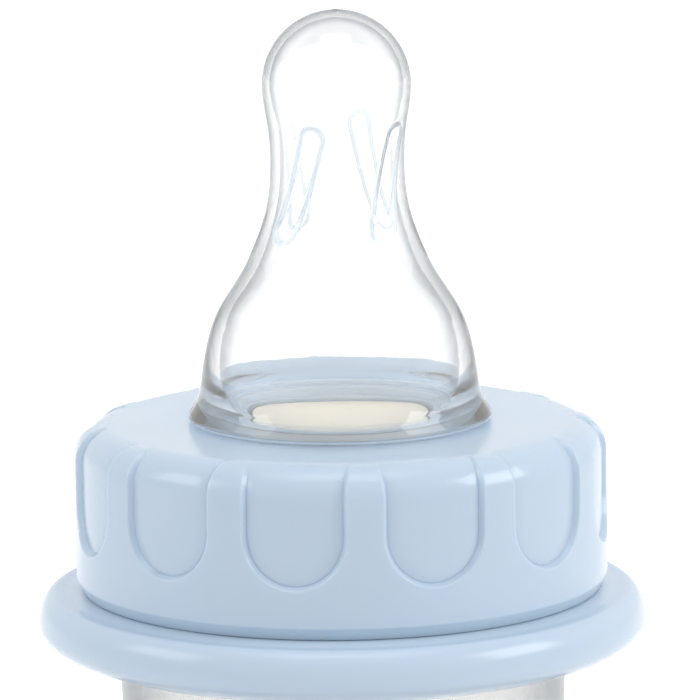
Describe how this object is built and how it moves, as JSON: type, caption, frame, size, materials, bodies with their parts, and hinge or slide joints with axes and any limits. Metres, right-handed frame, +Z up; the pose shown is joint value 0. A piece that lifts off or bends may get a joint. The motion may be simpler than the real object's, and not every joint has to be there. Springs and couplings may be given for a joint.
{
  "type": "baby bottle",
  "caption": "Baby feeding bottle: clear round silicone teat held by a grip-recessed screw ring over a collar, with a sealing disc and a waisted translucent body.",
  "frame": {"origin": "centre of the foot ring that the bottle stands on", "axes": "+Z up along the axis of the bottle, the ring and the teat"},
  "size_m": [0.06, 0.06, 0.1819],
  "materials": {
    "bottle_plastic": "satin natural polypropylene, milky and translucent",
    "blue_plastic": "smooth moulded polypropylene, pale blue, soft gloss",
    "teat_silicone": "clear liquid silicone rubber, glossy",
    "cream_plastic": "moulded polypropylene, cream, satin"
  },
  "bodies": {
    "bottle": {"bottle_body": "bottle_plastic", "collar": "blue_plastic"},
    "feeding_top": {"teat": "teat_silicone", "sealing_disc": "cream_plastic"},
    "ring": {"screw_ring": "blue_plastic"}
  },
  "joints": [
    {"name": "lift", "type": "slide", "parent": "bottle", "child": "feeding_top", "axis": [0, 0, 1], "range_m": [0, 0.016]},
    {"name": "ring_turn", "type": "hinge", "parent": "feeding_top", "child": "ring", "pos_m": [0, 0, 0.1374], "axis": [0, 0, 1], "range_deg": [0, 1440]}
  ],
  "couplings": [
    {"joint": "lift", "follows": "ring_turn", "m_per_rad": 0.00063662}
  ]
}
